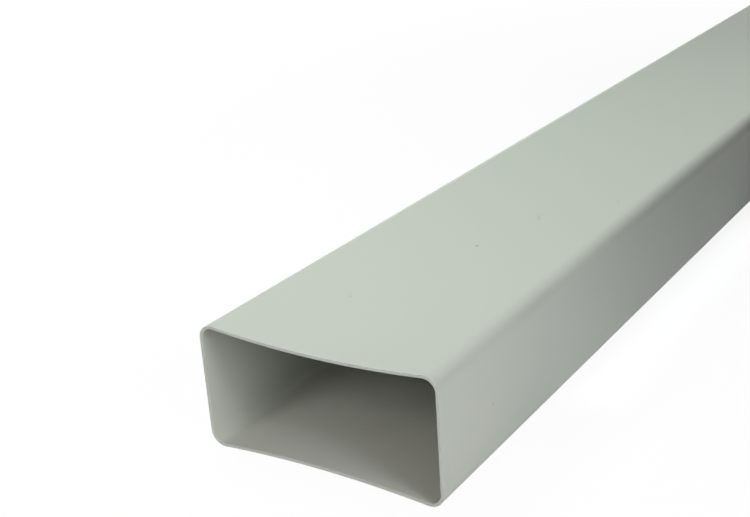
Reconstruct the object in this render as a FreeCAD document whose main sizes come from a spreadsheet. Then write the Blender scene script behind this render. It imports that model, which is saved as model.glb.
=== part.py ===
"""Flat channel duct: one straight length of rigid PVC ventilation channel, 110 x 54 mm.

The duct lies on its wide side, with its length along Y and Z up. The origin is on the
floor, under the middle of the duct. All sizes are in millimetres.
"""
import FreeCAD
import Part
import Sketcher
import math
import os

from FreeCAD import Vector

# Driving dimensions: alias, value and what it measures
DIMENSIONS = (
    ("width", 110.0, "outside width, over the two narrow sides"),
    ("height", 54.0, "outside height, over the corners"),
    ("length", 1000.0, "cut length"),
    ("wall", 1.3, "wall thickness"),
    ("corner_radius", 6.3, "outside radius of the four corners"),
    ("top_sag", 2.5, "how far the middle of the top wall lies below the corners"),
    ("base_bow", 2.2, "how far the middle of the bottom wall lies above the corners"),
    ("edge_break", 0.2, "chamfer left by deburring the sawn ends"),
)

UP = Vector(0, 0, 1)
END_TOLERANCE = 0.001


def make_sheet(doc):
    """Spreadsheet with one named cell for each driving dimension."""
    sheet = doc.addObject("Spreadsheet::Sheet", "dims")
    for row, (alias, value, meaning) in enumerate(DIMENSIONS, start=1):
        sheet.set(f"A{row}", alias)
        sheet.set(f"B{row}", str(value))
        sheet.set(f"C{row}", meaning)
        sheet.setAlias(f"B{row}", alias)
    doc.recompute()
    return sheet


def origin_plane(body, role):
    """One of a body's own origin planes, found by its role."""
    return next(plane for plane in body.Origin.OriginFeatures if plane.Role == role)


def arc(centre_x, centre_z, radius, start, end):
    """Counterclockwise arc in the section's plane, with its angles in radians."""
    circle = Part.Circle(Vector(centre_x, centre_z, 0), UP, radius)
    return Part.ArcOfCircle(circle, start, end)


def bowed_wall(sheet, bow):
    """Radius of a wide wall that bows inwards, and half the angle that it spans.

    The wall is one arc between two corner circles and is tangent to both.
    """
    reach = sheet.width / 2 - sheet.corner_radius
    rise = sheet.corner_radius - bow
    radius = (reach ** 2 + rise ** 2 - sheet.corner_radius ** 2) / (2 * bow)
    return radius, math.atan2(reach, radius + rise)


def draw_section(body, sheet):
    """Sketch of the outside outline: flat narrow sides, round corners, bowed wide walls."""
    sketch = body.newObject("Sketcher::SketchObject", "section")
    sketch.AttachmentSupport = (origin_plane(body, "XZ_Plane"), [""])
    sketch.MapMode = "FlatFace"

    half_width = sheet.width / 2
    radius = sheet.corner_radius
    reach = half_width - radius
    low = radius
    high = sheet.height - radius
    top_radius, top_angle = bowed_wall(sheet, sheet.top_sag)
    base_radius, base_angle = bowed_wall(sheet, sheet.base_bow)
    top_middle = sheet.height - sheet.top_sag
    base_middle = sheet.base_bow
    quarter = math.pi / 2

    right_side = sketch.addGeometry(
        Part.LineSegment(Vector(half_width, low, 0), Vector(half_width, high, 0)))
    top_right = sketch.addGeometry(arc(reach, high, radius, 0, quarter + top_angle))
    top_wall = sketch.addGeometry(
        arc(0, top_middle + top_radius, top_radius,
            3 * quarter - top_angle, 3 * quarter + top_angle))
    top_left = sketch.addGeometry(
        arc(-reach, high, radius, quarter - top_angle, 2 * quarter))
    left_side = sketch.addGeometry(
        Part.LineSegment(Vector(-half_width, high, 0), Vector(-half_width, low, 0)))
    base_left = sketch.addGeometry(
        arc(-reach, low, radius, 2 * quarter, 3 * quarter + base_angle))
    base_wall = sketch.addGeometry(
        arc(0, base_middle - base_radius, base_radius,
            quarter - base_angle, quarter + base_angle))
    base_right = sketch.addGeometry(
        arc(reach, low, radius, 3 * quarter - base_angle, 4 * quarter))
    top_point = sketch.addGeometry(Part.Point(Vector(0, top_middle, 0)), True)
    base_point = sketch.addGeometry(Part.Point(Vector(0, base_middle, 0)), True)

    start, end, centre = 1, 2, 3
    origin, upright_axis = -1, -2

    # Each stretch runs smoothly into the next, all the way round
    joints = (
        (right_side, end, top_right, start),
        (top_right, end, top_wall, end),
        (top_wall, start, top_left, start),
        (top_left, end, left_side, start),
        (left_side, end, base_left, start),
        (base_left, end, base_wall, end),
        (base_wall, start, base_right, start),
        (base_right, end, right_side, start),
    )
    for joint in joints:
        sketch.addConstraint(Sketcher.Constraint("Tangent", *joint))

    # The narrow sides stand upright, the corners are alike, and left mirrors right
    sketch.addConstraint(Sketcher.Constraint("Vertical", right_side))
    sketch.addConstraint(Sketcher.Constraint("Vertical", left_side))
    for corner in (top_left, base_left, base_right):
        sketch.addConstraint(Sketcher.Constraint("Equal", top_right, corner))
    sketch.addConstraint(
        Sketcher.Constraint("Symmetric", top_right, centre, top_left, centre, upright_axis))
    sketch.addConstraint(
        Sketcher.Constraint("Horizontal", base_right, centre, base_left, centre))
    for point, bowed in ((top_point, top_wall), (base_point, base_wall)):
        sketch.addConstraint(Sketcher.Constraint("PointOnObject", point, start, bowed))
        sketch.addConstraint(Sketcher.Constraint("PointOnObject", point, start, upright_axis))

    # Sizes, each bound to its cell
    sizes = (
        ("width", ("DistanceX", left_side, start, right_side, end), "dims.width"),
        ("corner", ("Radius", top_right), "dims.corner_radius"),
        ("floor", ("DistanceY", origin, start, base_right, centre), "dims.corner_radius"),
        ("rise", ("DistanceY", base_right, centre, top_right, centre),
         "dims.height - 2 * dims.corner_radius"),
        ("top_middle", ("DistanceY", origin, start, top_point, start),
         "dims.height - dims.top_sag"),
        ("base_middle", ("DistanceY", origin, start, base_point, start), "dims.base_bow"),
    )
    drawn = {
        "width": sheet.width,
        "corner": radius,
        "floor": low,
        "rise": high - low,
        "top_middle": top_middle,
        "base_middle": base_middle,
    }
    for name, places, formula in sizes:
        index = sketch.addConstraint(Sketcher.Constraint(*places, drawn[name]))
        sketch.renameConstraint(index, name)
        sketch.setExpression(f"Constraints.{name}", formula)
    return sketch


def end_distance(thing, sheet):
    """How far a face or an edge lies from the nearer sawn end."""
    return abs(abs(thing.CenterOfMass.y) - sheet.length / 2)


def names_at_ends(shape, sheet, kind):
    """Names of the faces, or of the edges, that lie in the two sawn ends."""
    things = shape.Faces if kind == "Face" else shape.Edges
    return [
        f"{kind}{number}"
        for number, thing in enumerate(things, start=1)
        if end_distance(thing, sheet) < END_TOLERANCE
    ]


def make_duct(doc, sheet):
    """The duct: its section drawn out to length, hollowed to its wall, and deburred."""
    body = doc.addObject("PartDesign::Body", "channel_duct")
    body.Label = "channel_duct"

    extrusion = body.newObject("PartDesign::Pad", "extrusion")
    extrusion.Profile = draw_section(body, sheet)
    extrusion.SideType = "Symmetric"
    extrusion.setExpression("Length", "dims.length")
    doc.recompute()

    bore = body.newObject("PartDesign::Thickness", "bore")
    bore.Base = (extrusion, names_at_ends(extrusion.Shape, sheet, "Face"))
    bore.Reversed = True
    bore.Join = "Intersection"
    bore.setExpression("Value", "dims.wall")
    doc.recompute()

    rim = body.newObject("PartDesign::Chamfer", "rim")
    rim.Base = (bore, names_at_ends(bore.Shape, sheet, "Edge"))
    rim.setExpression("Size", "dims.edge_break")
    doc.recompute()
    return body


def check(doc, pieces):
    """Stops before anything is written if an object failed or a piece isn't one sound solid."""
    for item in doc.Objects:
        if "Invalid" in item.State or "Error" in item.State:
            raise RuntimeError(f"{item.Label} failed: {item.State}")
    for piece in pieces:
        shape = piece.Shape
        if shape.isNull() or not shape.isValid() or len(shape.Solids) != 1:
            raise RuntimeError(f"{piece.Label} is not one valid solid")


def main():
    doc = FreeCAD.newDocument("flat_channel_duct")
    sheet = make_sheet(doc)
    pieces = [make_duct(doc, sheet)]
    doc.recompute()
    check(doc, pieces)
    os.makedirs("parts", exist_ok=True)
    for piece in pieces:
        piece.Shape.exportStep(f"parts/{piece.Label}.step")
        box = piece.Shape.BoundBox
        print(f"{piece.Label}: {box.XLength:.2f} x {box.YLength:.2f} x {box.ZLength:.2f} mm, "
              f"{piece.Shape.Volume / 1000:.1f} cm3, {len(piece.Shape.Faces)} faces")


main()
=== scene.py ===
"""Flat channel duct in pale grey PVC, laid out as a Blender add-on.

One operator models the duct: its section is drawn with lines and spun arcs, drawn out to length,
given its wall and rounded at the sawn rims. The other operator sets the stage: floor, lamps and
camera. All sizes are in metres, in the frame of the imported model.
"""

import bpy
import math

from bpy.props import FloatProperty, FloatVectorProperty, IntProperty, PointerProperty
from collections import namedtuple
from mathutils import Matrix, Vector


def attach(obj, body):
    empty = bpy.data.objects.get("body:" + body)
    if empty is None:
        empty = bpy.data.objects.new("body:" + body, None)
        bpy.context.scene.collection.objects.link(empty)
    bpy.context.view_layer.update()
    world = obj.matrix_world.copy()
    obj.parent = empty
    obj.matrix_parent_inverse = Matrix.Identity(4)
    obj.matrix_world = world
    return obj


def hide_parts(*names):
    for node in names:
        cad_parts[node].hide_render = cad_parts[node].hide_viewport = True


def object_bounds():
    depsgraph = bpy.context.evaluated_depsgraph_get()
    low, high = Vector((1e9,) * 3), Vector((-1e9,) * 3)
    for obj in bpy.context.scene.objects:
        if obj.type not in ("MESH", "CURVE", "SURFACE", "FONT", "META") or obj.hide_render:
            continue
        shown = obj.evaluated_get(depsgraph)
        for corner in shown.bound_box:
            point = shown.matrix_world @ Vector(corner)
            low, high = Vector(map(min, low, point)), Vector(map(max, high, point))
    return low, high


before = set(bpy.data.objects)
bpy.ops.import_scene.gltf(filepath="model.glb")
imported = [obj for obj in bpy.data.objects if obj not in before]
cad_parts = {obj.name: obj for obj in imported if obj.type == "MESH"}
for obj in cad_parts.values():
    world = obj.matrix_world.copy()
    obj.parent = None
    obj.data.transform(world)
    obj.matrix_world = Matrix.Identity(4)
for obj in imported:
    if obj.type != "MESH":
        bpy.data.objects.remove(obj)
CAD_LOW, CAD_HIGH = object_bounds()

bl_info = {
    "name": "Flat Channel Duct",
    "version": (1, 0, 0),
    "blender": (4, 5, 0),
    "location": "View3D > Sidebar > Duct",
    "description": "Models a length of flat PVC ventilation channel and the stage it lies on",
    "category": "Add Mesh",
}

DUCT_NODE = "channel_duct"
ALONG_DUCT = (0.0, 1.0, 0.0)
WHITE = (1.0, 1.0, 1.0, 1.0)

Pattern = namedtuple("Pattern", "scale detail turn")
Spot = namedtuple("Spot", "place radius depth")
Softbox = namedtuple("Softbox", "place target size")

# The plane that is merged into the outline's first vertex, and the gap up to which the outline closes
START_SIZE = 0.001
CLOSING_GAP = 0.0001

# Edges that turn by more than this are the sawn ones, and each is rounded by this many faces
RIM_ANGLE = math.radians(60)
RIM_STEPS = 3

# A face that leans this far towards an end belongs to the sawn rim
RIM_LEAN = 0.15

# Patterns in the plastic: repeats in a metre along X, Y and Z, detail, and turn about the duct's length
CLOUDS = Pattern((16.0, 7.0, 16.0), 3.0, 0.0)
DIE_LINES = Pattern((650.0, 1.5, 650.0), 2.0, 0.0)
GRAIN = Pattern((1500.0, 1500.0, 1500.0), 2.0, 0.0)
SAW_LINES = Pattern((3200.0, 1.0, 140.0), 3.0, math.radians(25))
RIM_CLOUDS = Pattern((90.0, 90.0, 90.0), 2.0, 0.0)

# Scattered specks: cells in a metre that hold one each, and a speck's radius
SPECK_CELLS = 70.0
SPECK_RADIUS = 0.0004

# Spots that make up six dust marks on the top and the right side; a depth below 0 is paler
DUST_SPOTS = (
    Spot((0.0027, -0.3756, 0.0515), 0.0013, 0.50),
    Spot((0.0106, -0.3291, 0.0516), 0.0012, 0.15),
    Spot((0.0119, -0.3317, 0.0516), 0.0013, 0.30),
    Spot((0.0132, -0.3341, 0.0517), 0.0012, 0.22),
    Spot((-0.0191, -0.4452, 0.0519), 0.0012, 0.10),
    Spot((-0.0175, -0.4479, 0.0518), 0.0013, 0.18),
    Spot((0.0386, -0.2995, 0.0531), 0.0012, 0.15),
    Spot((0.0398, -0.3025, 0.0532), 0.0012, 0.18),
    Spot((0.0550, -0.2338, 0.0463), 0.0014, -0.18),
    Spot((0.0550, -0.4603, 0.0250), 0.0016, 0.10),
)

# Softboxes: place, the point that each one faces, and its width and height
LEFT_BANK = Softbox((-0.5, -0.2, 0.9), (-0.1, -0.25, 0.0), (0.6, 0.4))
FRONT_BOX = Softbox((-0.28, -1.27, 0.6), (0.0, -0.5, 0.03), (0.35, 0.35))
FRONT_CARD = Softbox((0.0, -0.85, 0.35), (0.0, -0.5, 0.03), (0.6, 0.5))
MOUTH_BOX = Softbox((0.6, -0.62, 0.42), (0.055, -0.5, 0.03), (0.2, 0.2))
SIDE_CARD = Softbox((0.45, -0.7, 0.25), (0.0, -0.5, 0.03), (0.5, 0.4))
SIDE_BOX = Softbox((0.5, -0.6, 0.12), (0.055, -0.5, 0.03), (0.2, 0.2))
FLOOR_STRIP = Softbox((0.07, -0.28, 0.3), (0.07, -0.28, 0.0), (0.02, 0.25))
FAR_BANK = Softbox((-0.1, 0.72, 0.9), (0.0, 0.64, 0.0), (0.5, 0.4))
FAR_BOX = Softbox((0.25, 1.2, 0.65), (0.0, 0.53, 0.02), (0.3, 0.3))
FAR_RIGHT = Softbox((0.9, 0.52, 0.3), (0.055, 0.46, 0.03), (0.5, 0.25))
FAR_LEFT = Softbox((-0.9, 0.52, 0.3), (-0.055, 0.46, 0.03), (0.5, 0.25))

# A softbox without a grid spreads its light over a half turn
NO_GRID = math.pi

# Corners of the round floor
FLOOR_SIDES = 64

# Camera: sensor width in millimetres, and the least distance that it sees
SENSOR_WIDTH = 36.0
NEAR_CLIP = 0.01


# Settings

class DuctSizes(bpy.types.PropertyGroup):
    """Sizes of the duct."""

    width: FloatProperty(
        name="Width", description="Outside width, over the two narrow sides",
        default=CAD_HIGH.x - CAD_LOW.x, min=0.03, unit="LENGTH")
    height: FloatProperty(
        name="Height", description="Outside height, over the corners",
        default=CAD_HIGH.z - CAD_LOW.z, min=0.02, unit="LENGTH")
    length: FloatProperty(
        name="Length", description="Cut length",
        default=CAD_HIGH.y - CAD_LOW.y, min=0.05, unit="LENGTH")
    wall: FloatProperty(
        name="Wall", description="Wall thickness",
        default=0.0013, min=0.0005, unit="LENGTH")
    corner_radius: FloatProperty(
        name="Corner Radius", description="Outside radius of the four corners",
        default=0.0063, min=0.002, unit="LENGTH")
    top_sag: FloatProperty(
        name="Top Sag", description="How far the middle of the top wall lies below the corners",
        default=0.0025, min=0.0001, unit="LENGTH")
    base_bow: FloatProperty(
        name="Base Bow", description="How far the middle of the base lies above the corners",
        default=0.0022, min=0.0001, unit="LENGTH")
    rim_round: FloatProperty(
        name="Rim Round", description="Rounding that deburring leaves on the sawn rims",
        default=0.0001, min=0.00005, unit="LENGTH")
    corner_steps: IntProperty(
        name="Corner Steps", description="Faces round each corner", default=18, min=4)
    wall_steps: IntProperty(
        name="Wall Steps", description="Faces across each wide wall", default=28, min=4)
    side_steps: IntProperty(
        name="Side Steps", description="Faces up each narrow side", default=10, min=1)
    length_steps: IntProperty(
        name="Length Steps", description="Faces along the duct", default=40, min=1)


class DuctFinish(bpy.types.PropertyGroup):
    """Colours and finish of the duct."""

    pvc_colour: FloatVectorProperty(
        name="PVC", description="Colour of the extruded walls",
        default=(0.585, 0.605, 0.545), min=0.0, max=1.0, subtype="COLOR")
    rim_colour: FloatVectorProperty(
        name="Sawn PVC", description="Colour of the sawn rims",
        default=(0.66, 0.69, 0.63), min=0.0, max=1.0, subtype="COLOR")
    shine: FloatProperty(
        name="Shine", description="How strongly the plastic mirrors its surroundings",
        default=0.35, min=0.0, max=1.0, subtype="FACTOR")
    roughness: FloatProperty(
        name="Roughness", description="Middle roughness of the satin walls",
        default=0.58, min=0.0, max=1.0, subtype="FACTOR")
    cloud_roughness: FloatProperty(
        name="Cloud Roughness", description="How far the clouds change the walls' roughness",
        default=0.06, min=0.0, max=0.5, subtype="FACTOR")
    line_roughness: FloatProperty(
        name="Line Roughness", description="How far the die lines change the walls' roughness",
        default=0.05, min=0.0, max=0.5, subtype="FACTOR")
    rim_roughness: FloatProperty(
        name="Sawn Roughness", description="Middle roughness of the sawn rims",
        default=0.68, min=0.0, max=1.0, subtype="FACTOR")
    saw_roughness: FloatProperty(
        name="Saw Line Roughness", description="How far the saw lines change the rims' roughness",
        default=0.12, min=0.0, max=0.5, subtype="FACTOR")
    cloud_depth: FloatProperty(
        name="Clouds", description="How far broad clouds in the colour go, as a share of it",
        default=0.03, min=0.0, max=0.2, subtype="FACTOR")
    line_depth: FloatProperty(
        name="Die Lines", description="How far die lines change the colour, as a share of it",
        default=0.02, min=0.0, max=0.2, subtype="FACTOR")
    line_height: FloatProperty(
        name="Line Height", description="Height of the die lines",
        default=0.000008, min=0.0, unit="LENGTH", precision=6)
    grain_height: FloatProperty(
        name="Grain Height", description="Height of the fine grain",
        default=0.00001, min=0.0, unit="LENGTH", precision=6)
    speck_depth: FloatProperty(
        name="Specks", description="How dark the scattered specks are, as a share of the colour",
        default=0.25, min=0.0, max=1.0, subtype="FACTOR")
    saw_depth: FloatProperty(
        name="Saw Lines", description="How far saw lines and clouds change the rims' colour",
        default=0.10, min=0.0, max=0.5, subtype="FACTOR")
    saw_height: FloatProperty(
        name="Saw Height", description="Height of the saw lines",
        default=0.00002, min=0.0, unit="LENGTH", precision=6)


def lamp_power(name, lamp, watts):
    """Property that holds the power of a lamp."""
    return FloatProperty(
        name=name, description=f"Power of {lamp}", default=watts, min=0.0, unit="POWER")


def lamp_grid(name, lamp, degrees):
    """Property that holds the angle that a grid narrows a lamp's light to."""
    return FloatProperty(
        name=name, description=f"Angle that a grid narrows the light of {lamp} to",
        default=math.radians(degrees), min=0.0, max=NO_GRID, subtype="ANGLE", unit="ROTATION")


class DuctStage(bpy.types.PropertyGroup):
    """Camera, lamps and floor."""

    camera_place: FloatVectorProperty(
        name="Camera", description="Where the camera stands",
        default=(0.25828, -0.82974, 0.252577), subtype="TRANSLATION", unit="LENGTH")
    camera_yaw: FloatProperty(
        name="Yaw", description="How far the camera turns left from looking along the duct",
        default=math.radians(34.445), subtype="ANGLE", unit="ROTATION")
    camera_pitch: FloatProperty(
        name="Pitch", description="How far the camera looks down",
        default=math.radians(21.429), subtype="ANGLE", unit="ROTATION")
    camera_roll: FloatProperty(
        name="Roll", description="How far the camera leans to its right",
        default=math.radians(4.038), subtype="ANGLE", unit="ROTATION")
    lens: FloatProperty(
        name="Lens", description="Focal length on a sensor 36 mm wide",
        default=59.434, min=10.0, unit="CAMERA")
    bank_colour: FloatVectorProperty(
        name="Bank Colour", description="Colour of the lamps overhead",
        default=(0.900, 1.0, 0.962), min=0.0, max=1.0, subtype="COLOR")
    front_colour: FloatVectorProperty(
        name="Front Colour", description="Colour of the lamps before the open ends",
        default=(1.0, 0.932, 0.943), min=0.0, max=1.0, subtype="COLOR")
    side_colour: FloatVectorProperty(
        name="Side Colour", description="Colour of the lamps beside the duct",
        default=(0.944, 0.974, 1.0), min=0.0, max=1.0, subtype="COLOR")
    left_bank_power: lamp_power("Left Bank", "the softbox up on the left", 1.765)
    left_bank_grid: lamp_grid("Left Bank Grid", "the softbox up on the left", 80)
    front_box_power: lamp_power("Front Box", "the softbox before the near end", 1.77)
    front_card_power: lamp_power("Front Card", "the bright card before the near end", 0.54)
    mouth_box_power: lamp_power("Mouth Box", "the softbox that shines into the near end", 0.088)
    mouth_box_grid: lamp_grid("Mouth Box Grid", "the softbox that shines into the near end", 45)
    side_card_power: lamp_power("Side Card", "the bright card right of the near end", 0.1065)
    side_card_grid: lamp_grid("Side Card Grid", "the bright card right of the near end", 60)
    side_box_power: lamp_power("Side Box", "the small softbox by the right side", 0.0266)
    side_box_grid: lamp_grid("Side Box Grid", "the small softbox by the right side", 35)
    floor_strip_power: lamp_power("Floor Strip", "the strip over the floor by the right side", 0.0137)
    floor_strip_grid: lamp_grid("Floor Strip Grid", "the strip over the floor by the right side", 6)
    far_bank_power: lamp_power("Far Bank", "the softbox over the far end", 0.45)
    far_box_power: lamp_power("Far Box", "the softbox behind the far end", 0.141)
    far_side_power: lamp_power("Far Sides", "the softbox at each side of the far end", 0.2)
    far_grid: lamp_grid("Far Grids", "each softbox round the far end", 40)
    floor_colour: FloatVectorProperty(
        name="Floor", description="Colour of the light that the floor sends up",
        default=(0.65, 0.65, 0.65), min=0.0, max=1.0, subtype="COLOR")
    floor_radius: FloatProperty(
        name="Floor Radius", description="Radius of the floor",
        default=20.0, min=2.0, unit="LENGTH")
    shadow_share: FloatProperty(
        name="Shadow", description="How much of the duct's shadow the floor shows",
        default=0.16, min=0.0, max=1.0, subtype="FACTOR")
    shadow_reach: FloatVectorProperty(
        name="Shadow Reach", description="How far from the middle of the duct the floor shows it",
        default=(0.6, 1.0, 1.0), subtype="XYZ", unit="LENGTH")


# Modelling

def bowed_wall(sizes, bow):
    """Radius of a wide wall that bows inwards, and half the angle that it spans."""
    reach = sizes.width / 2 - sizes.corner_radius
    rise = sizes.corner_radius - bow
    radius = (reach ** 2 + rise ** 2 - sizes.corner_radius ** 2) / (2 * bow)
    return radius, math.atan2(reach, radius + rise)


def start_outline(name, place):
    """New mesh in edit mode that holds one selected vertex, and its object at the origin."""
    bpy.ops.object.select_all(action="DESELECT")
    bpy.ops.mesh.primitive_plane_add(size=START_SIZE, location=place)
    outline = bpy.context.object
    outline.name = name
    outline.data.name = name
    bpy.ops.object.transform_apply(location=True, rotation=True, scale=True)
    bpy.ops.object.mode_set(mode="EDIT")
    bpy.ops.mesh.select_all(action="SELECT")
    bpy.ops.mesh.merge(type="CENTER")
    return outline


def draw_line(rise, steps):
    """Draws the outline on, straight up or down, from its last vertex."""
    for _ in range(steps):
        bpy.ops.mesh.extrude_region_move(
            TRANSFORM_OT_translate={"value": (0.0, 0.0, rise / steps)})


def draw_arc(centre, angle, steps):
    """Draws the outline on round a centre; a positive angle turns from the right side to the top."""
    bpy.ops.mesh.spin(steps=steps, angle=angle, center=centre, axis=ALONG_DUCT)


def close_outline(outline):
    """Joins the outline's two ends, and stops the script if it isn't one closed loop then."""
    bpy.ops.mesh.select_all(action="SELECT")
    bpy.ops.mesh.remove_doubles(threshold=CLOSING_GAP)
    outline.update_from_editmode()
    if len(outline.data.edges) != len(outline.data.vertices):
        raise RuntimeError(f"The outline of {outline.name} does not close")


def draw_section(sizes):
    """Closed outline of the duct's outside at its front end, drawn once round."""
    front = -sizes.length / 2
    base = CAD_LOW.z
    radius = sizes.corner_radius
    reach = sizes.width / 2 - radius
    low = base + radius
    high = base + sizes.height - radius
    quarter = math.pi / 2
    top_radius, top_angle = bowed_wall(sizes, sizes.top_sag)
    base_radius, base_angle = bowed_wall(sizes, sizes.base_bow)
    top_centre = (0.0, front, base + sizes.height - sizes.top_sag + top_radius)
    base_centre = (0.0, front, base + sizes.base_bow - base_radius)

    duct = start_outline("duct_body", (sizes.width / 2, front, low))
    draw_line(high - low, sizes.side_steps)
    draw_arc((reach, front, high), quarter + top_angle, sizes.corner_steps)
    draw_arc(top_centre, -2 * top_angle, sizes.wall_steps)
    draw_arc((-reach, front, high), quarter + top_angle, sizes.corner_steps)
    draw_line(low - high, sizes.side_steps)
    draw_arc((-reach, front, low), quarter + base_angle, sizes.corner_steps)
    draw_arc(base_centre, -2 * base_angle, sizes.wall_steps)
    draw_arc((reach, front, low), quarter + base_angle, sizes.corner_steps)
    close_outline(duct)
    return duct


def apply_modifier(piece, kind, **settings):
    """Adds a modifier with these settings and applies it."""
    modifier = piece.modifiers.new(kind.title(), kind)
    for name, value in settings.items():
        setattr(modifier, name, value)
    bpy.ops.object.modifier_apply(modifier=modifier.name)


def model_duct(sizes):
    """The duct: outline, length, wall and rounded rims."""
    duct = draw_section(sizes)
    for _ in range(sizes.length_steps):
        bpy.ops.mesh.extrude_region_move(
            TRANSFORM_OT_translate={"value": (0.0, sizes.length / sizes.length_steps, 0.0)})
    bpy.ops.mesh.select_all(action="SELECT")
    bpy.ops.mesh.normals_make_consistent(inside=False)
    bpy.ops.object.mode_set(mode="OBJECT")

    apply_modifier(duct, "SOLIDIFY", thickness=sizes.wall, offset=-1.0, use_even_offset=True)
    apply_modifier(duct, "BEVEL", width=sizes.rim_round, segments=RIM_STEPS,
                   limit_method="ANGLE", angle_limit=RIM_ANGLE)
    bpy.ops.object.shade_smooth()
    apply_modifier(duct, "WEIGHTED_NORMAL", keep_sharp=True)
    return duct


# Finish

def new_material(name):
    """New node material, its node tree and its shader."""
    material = bpy.data.materials.new(name)
    material.use_nodes = True
    return material, material.node_tree, material.node_tree.nodes["Principled BSDF"]


def add_node(tree, kind, sockets=None, **settings):
    """Adds a node; a socket given an output is linked to it, and any other gets the value."""
    node = tree.nodes.new(kind)
    for name, value in settings.items():
        setattr(node, name, value)
    for socket, value in (sockets or {}).items():
        if isinstance(value, bpy.types.NodeSocket):
            tree.links.new(value, node.inputs[socket])
        else:
            node.inputs[socket].default_value = value
    return node


def math_node(tree, operation, *values):
    """Output of a math node on values or outputs."""
    node = add_node(tree, "ShaderNodeMath", dict(enumerate(values)), operation=operation)
    return node.outputs["Value"]


def noise(tree, place, pattern):
    """Noise from 0 to 1 that follows a pattern."""
    mapping = add_node(tree, "ShaderNodeMapping", {
        "Vector": place, "Rotation": (0.0, pattern.turn, 0.0), "Scale": pattern.scale})
    texture = add_node(tree, "ShaderNodeTexNoise", {
        "Vector": mapping.outputs["Vector"], "Scale": 1.0, "Detail": pattern.detail})
    return texture.outputs["Fac"]


def around(tree, value, middle, depth):
    """A 0 to 1 value brought to a middle value, with a full swing of depth."""
    return math_node(tree, "MULTIPLY_ADD", value, depth, middle - depth / 2)


def bump(tree, height, distance, normal=None):
    """Normal of a surface that rises by a distance where height is 1."""
    sockets = {"Height": height, "Distance": distance, "Strength": 1.0}
    if normal is not None:
        sockets["Normal"] = normal
    return add_node(tree, "ShaderNodeBump", sockets).outputs["Normal"]


def fade(tree, distance, radius):
    """1 at no distance, falling smoothly to 0 at the radius."""
    fall = add_node(tree, "ShaderNodeMapRange", {
        "Value": distance, "From Min": 0.0, "From Max": radius, "To Min": 1.0, "To Max": 0.0},
        interpolation_type="SMOOTHSTEP")
    return fall.outputs["Result"]


def scaled_colour(tree, colour, tone):
    """A colour made lighter or darker by a tone that varies over the surface."""
    node = add_node(tree, "ShaderNodeVectorMath", {0: colour, "Scale": tone}, operation="SCALE")
    return node.outputs["Vector"]


def dust_tone(tree, place, finish):
    """Tone near 1 that changes at the dust marks and darkens at the scattered specks."""
    cells = add_node(tree, "ShaderNodeTexVoronoi", {"Vector": place, "Scale": SPECK_CELLS})
    specks = fade(tree, cells.outputs["Distance"], SPECK_RADIUS * SPECK_CELLS)
    tone = math_node(tree, "MULTIPLY_ADD", specks, -finish.speck_depth, 1.0)
    for spot in DUST_SPOTS:
        gap = add_node(tree, "ShaderNodeVectorMath", {0: place, 1: spot.place}, operation="DISTANCE")
        mask = fade(tree, gap.outputs["Value"], spot.radius)
        tone = math_node(tree, "MULTIPLY_ADD", mask, -spot.depth, tone)
    return tone


def wall_material(finish):
    """Satin grey PVC as it leaves the die: faint clouds, lengthwise die lines and a fine grain."""
    material, tree, shader = new_material("grey_pvc_wall")
    place = add_node(tree, "ShaderNodeTexCoord").outputs["Object"]
    clouds = noise(tree, place, CLOUDS)
    die_lines = noise(tree, place, DIE_LINES)
    grain = noise(tree, place, GRAIN)

    tone = math_node(tree, "MULTIPLY", around(tree, clouds, 1.0, finish.cloud_depth),
                     around(tree, die_lines, 1.0, finish.line_depth))
    tone = math_node(tree, "MULTIPLY", tone, dust_tone(tree, place, finish))
    tree.links.new(scaled_colour(tree, finish.pvc_colour, tone), shader.inputs["Base Color"])

    roughness = math_node(tree, "ADD", around(tree, clouds, finish.roughness, finish.cloud_roughness),
                          around(tree, die_lines, 0.0, finish.line_roughness))
    tree.links.new(roughness, shader.inputs["Roughness"])
    shader.inputs["Specular IOR Level"].default_value = finish.shine

    normal = bump(tree, die_lines, finish.line_height)
    normal = bump(tree, grain, finish.grain_height, normal)
    tree.links.new(normal, shader.inputs["Normal"])
    return material


def rim_material(finish):
    """The same PVC where it was sawn: a little paler and duller, with slanting saw lines."""
    material, tree, shader = new_material("grey_pvc_sawn_rim")
    place = add_node(tree, "ShaderNodeTexCoord").outputs["Object"]
    saw_lines = noise(tree, place, SAW_LINES)
    clouds = noise(tree, place, RIM_CLOUDS)

    tone = math_node(tree, "MULTIPLY", around(tree, saw_lines, 1.0, finish.saw_depth),
                     around(tree, clouds, 1.0, finish.saw_depth))
    tree.links.new(scaled_colour(tree, finish.rim_colour, tone), shader.inputs["Base Color"])

    roughness = around(tree, saw_lines, finish.rim_roughness, finish.saw_roughness)
    tree.links.new(roughness, shader.inputs["Roughness"])
    shader.inputs["Specular IOR Level"].default_value = finish.shine
    tree.links.new(bump(tree, saw_lines, finish.saw_height), shader.inputs["Normal"])
    return material


def finish_duct(duct, finish):
    """Gives the walls their finish, and the sawn rims with their rounded edges another."""
    walls = wall_material(finish)
    rims = rim_material(finish)
    duct.data.materials.append(walls)
    duct.data.materials.append(rims)
    rim_index = duct.data.materials.find(rims.name)
    for face in duct.data.polygons:
        if abs(face.normal.y) > RIM_LEAN:
            face.material_index = rim_index


# Stage

def white_to_eye(tree):
    """1 for the rays that see the background: camera, glossy and transmission rays."""
    path = add_node(tree, "ShaderNodeLightPath").outputs
    seen = math_node(tree, "MAXIMUM", path["Is Camera Ray"], path["Is Glossy Ray"])
    return math_node(tree, "MAXIMUM", seen, path["Is Transmission Ray"])


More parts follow.
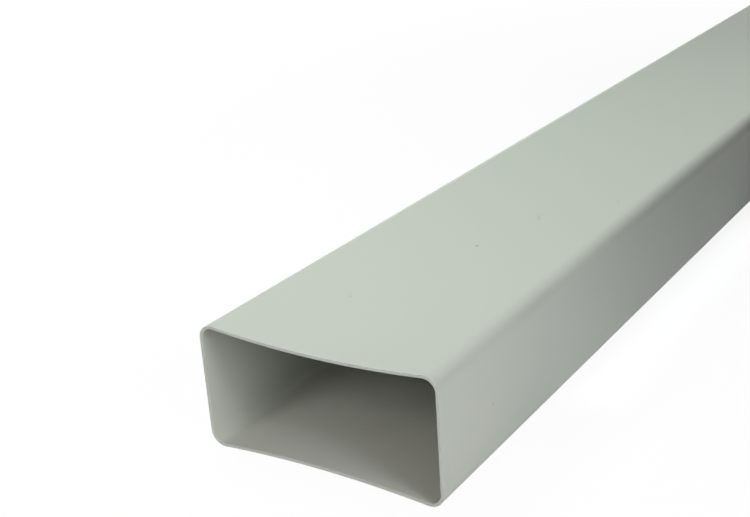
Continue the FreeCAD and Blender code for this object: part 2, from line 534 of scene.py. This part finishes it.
def floor_material(stage):
    """Pale floor that looks white, and takes a light shadow near the duct."""
    material, tree, bounce = new_material("pale_floor")
    bounce.inputs["Base Color"].default_value = (*stage.floor_colour, 1.0)
    bounce.inputs["Roughness"].default_value = 1.0
    bounce.inputs["Specular IOR Level"].default_value = 0.0
    place = add_node(tree, "ShaderNodeTexCoord").outputs["Object"]
    reach = add_node(tree, "ShaderNodeMapping", {"Vector": place, "Scale": stage.shadow_reach},
                     vector_type="TEXTURE")
    near = add_node(tree, "ShaderNodeTexGradient", {"Vector": reach.outputs["Vector"]},
                    gradient_type="QUADRATIC_SPHERE")
    share = math_node(tree, "MULTIPLY", near.outputs["Fac"], stage.shadow_share)
    white = add_node(tree, "ShaderNodeEmission", {"Color": WHITE, "Strength": 1.0})
    shaded = add_node(tree, "ShaderNodeBsdfDiffuse", {"Color": WHITE})
    seen = add_node(tree, "ShaderNodeMixShader", {
        "Fac": share, 1: white.outputs["Emission"], 2: shaded.outputs["BSDF"]})
    floor = add_node(tree, "ShaderNodeMixShader", {
        "Fac": white_to_eye(tree), 1: bounce.outputs["BSDF"], 2: seen.outputs["Shader"]})
    tree.links.new(floor.outputs["Shader"], tree.nodes["Material Output"].inputs["Surface"])
    return material


def add_floor(stage):
    """Round pale floor, as wide as the other views need."""
    bpy.ops.object.select_all(action="DESELECT")
    bpy.ops.mesh.primitive_circle_add(
        vertices=FLOOR_SIDES, radius=stage.floor_radius, fill_type="NGON",
        location=(0.0, 0.0, CAD_LOW.z))
    floor = bpy.context.object
    floor.name = "floor"
    floor.data.materials.append(floor_material(stage))


def add_softbox(name, softbox, power, colour, grid=NO_GRID):
    """Area lamp of a width and height that faces a point; a grid narrows how far its light fans out."""
    turn = (Vector(softbox.target) - Vector(softbox.place)).to_track_quat("-Z", "Y")
    bpy.ops.object.light_add(type="AREA", location=softbox.place, rotation=turn.to_euler())
    lamp = bpy.context.object
    lamp.name = name
    lamp.data.shape = "RECTANGLE"
    lamp.data.size, lamp.data.size_y = softbox.size
    lamp.data.energy = power
    lamp.data.color = colour
    lamp.data.spread = grid


def light_near_end(stage):
    """Lamps round the near end, and a strip that lights the floor by the right side.

    Grids keep the far end of the right side dim.
    """
    add_softbox("left_bank", LEFT_BANK, stage.left_bank_power, stage.bank_colour, stage.left_bank_grid)
    add_softbox("front_box", FRONT_BOX, stage.front_box_power, stage.front_colour)
    add_softbox("front_card", FRONT_CARD, stage.front_card_power, stage.front_colour)
    add_softbox("mouth_box", MOUTH_BOX, stage.mouth_box_power, stage.side_colour, stage.mouth_box_grid)
    add_softbox("side_card", SIDE_CARD, stage.side_card_power, stage.side_colour, stage.side_card_grid)
    add_softbox("side_box", SIDE_BOX, stage.side_box_power, stage.side_colour, stage.side_box_grid)
    add_softbox("floor_strip", FLOOR_STRIP, stage.floor_strip_power, stage.bank_colour,
                stage.floor_strip_grid)


def light_far_end(stage):
    """Softboxes round the far end; their grids keep their light off the near half."""
    add_softbox("far_bank", FAR_BANK, stage.far_bank_power, stage.bank_colour, stage.far_grid)
    add_softbox("far_box", FAR_BOX, stage.far_box_power, stage.front_colour, stage.far_grid)
    add_softbox("far_right", FAR_RIGHT, stage.far_side_power, stage.side_colour, stage.far_grid)
    add_softbox("far_left", FAR_LEFT, stage.far_side_power, stage.side_colour, stage.far_grid)


def add_world():
    """World that looks white, to the eye and in reflections, and gives no other light."""
    world = bpy.data.worlds.new("studio")
    bpy.context.scene.world = world
    world.use_nodes = True
    tree = world.node_tree
    background = tree.nodes["Background"]
    background.inputs["Color"].default_value = WHITE
    tree.links.new(white_to_eye(tree), background.inputs["Strength"])


def add_camera(stage):
    """Camera at the photograph's place, looking along the duct from its right."""
    yaw = stage.camera_yaw
    pitch = stage.camera_pitch
    ahead = Vector((-math.sin(yaw) * math.cos(pitch),
                    math.cos(yaw) * math.cos(pitch),
                    -math.sin(pitch)))
    level_right = Vector((math.cos(yaw), math.sin(yaw), 0.0))
    level_down = ahead.cross(level_right)
    right = math.cos(stage.camera_roll) * level_right + math.sin(stage.camera_roll) * level_down
    up = right.cross(ahead)
    turn = Matrix((right, up, -ahead)).transposed()
    bpy.ops.object.camera_add(location=stage.camera_place, rotation=turn.to_euler())
    camera = bpy.context.object
    camera.name = "photo_camera"
    camera.data.sensor_width = SENSOR_WIDTH
    camera.data.lens = stage.lens
    camera.data.clip_start = NEAR_CLIP
    bpy.context.scene.camera = camera


# Add-on

class DUCT_OT_model_duct(bpy.types.Operator):
    """Models the duct and gives it its finish"""

    bl_idname = "duct.model_duct"
    bl_label = "Model Duct"
    bl_options = {"REGISTER", "UNDO"}

    def execute(self, context):
        duct = model_duct(context.scene.duct_sizes)
        finish_duct(duct, context.scene.duct_finish)
        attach(duct, "root")
        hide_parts(DUCT_NODE)
        return {"FINISHED"}


class DUCT_OT_set_stage(bpy.types.Operator):
    """Sets the floor, the lamps and the camera"""

    bl_idname = "duct.set_stage"
    bl_label = "Set Stage"
    bl_options = {"REGISTER", "UNDO"}

    def execute(self, context):
        stage = context.scene.duct_stage
        context.scene.view_settings.view_transform = "Standard"
        add_floor(stage)
        light_near_end(stage)
        light_far_end(stage)
        add_world()
        add_camera(stage)
        return {"FINISHED"}


class DUCT_PT_panel(bpy.types.Panel):
    """Settings and operators of the duct and its stage"""

    bl_idname = "DUCT_PT_panel"
    bl_label = "Flat Channel Duct"
    bl_space_type = "VIEW_3D"
    bl_region_type = "UI"
    bl_category = "Duct"

    def draw(self, context):
        scene = context.scene
        for settings in (scene.duct_sizes, scene.duct_finish, scene.duct_stage):
            column = self.layout.column(align=True)
            for name in settings.__annotations__:
                column.prop(settings, name)
        self.layout.operator(DUCT_OT_model_duct.bl_idname)
        self.layout.operator(DUCT_OT_set_stage.bl_idname)


CLASSES = (
    DuctSizes,
    DuctFinish,
    DuctStage,
    DUCT_OT_model_duct,
    DUCT_OT_set_stage,
    DUCT_PT_panel,
)


def register():
    """Adds the classes, and the settings to the scene."""
    for item in CLASSES:
        bpy.utils.register_class(item)
    bpy.types.Scene.duct_sizes = PointerProperty(type=DuctSizes)
    bpy.types.Scene.duct_finish = PointerProperty(type=DuctFinish)
    bpy.types.Scene.duct_stage = PointerProperty(type=DuctStage)


def unregister():
    """Takes the settings and the classes off again."""
    del bpy.types.Scene.duct_stage
    del bpy.types.Scene.duct_finish
    del bpy.types.Scene.duct_sizes
    for item in reversed(CLASSES):
        bpy.utils.unregister_class(item)


def main():
    """Models the duct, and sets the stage."""
    register()
    bpy.ops.duct.model_duct()
    bpy.ops.duct.set_stage()


if __name__ == "__main__":
    main()
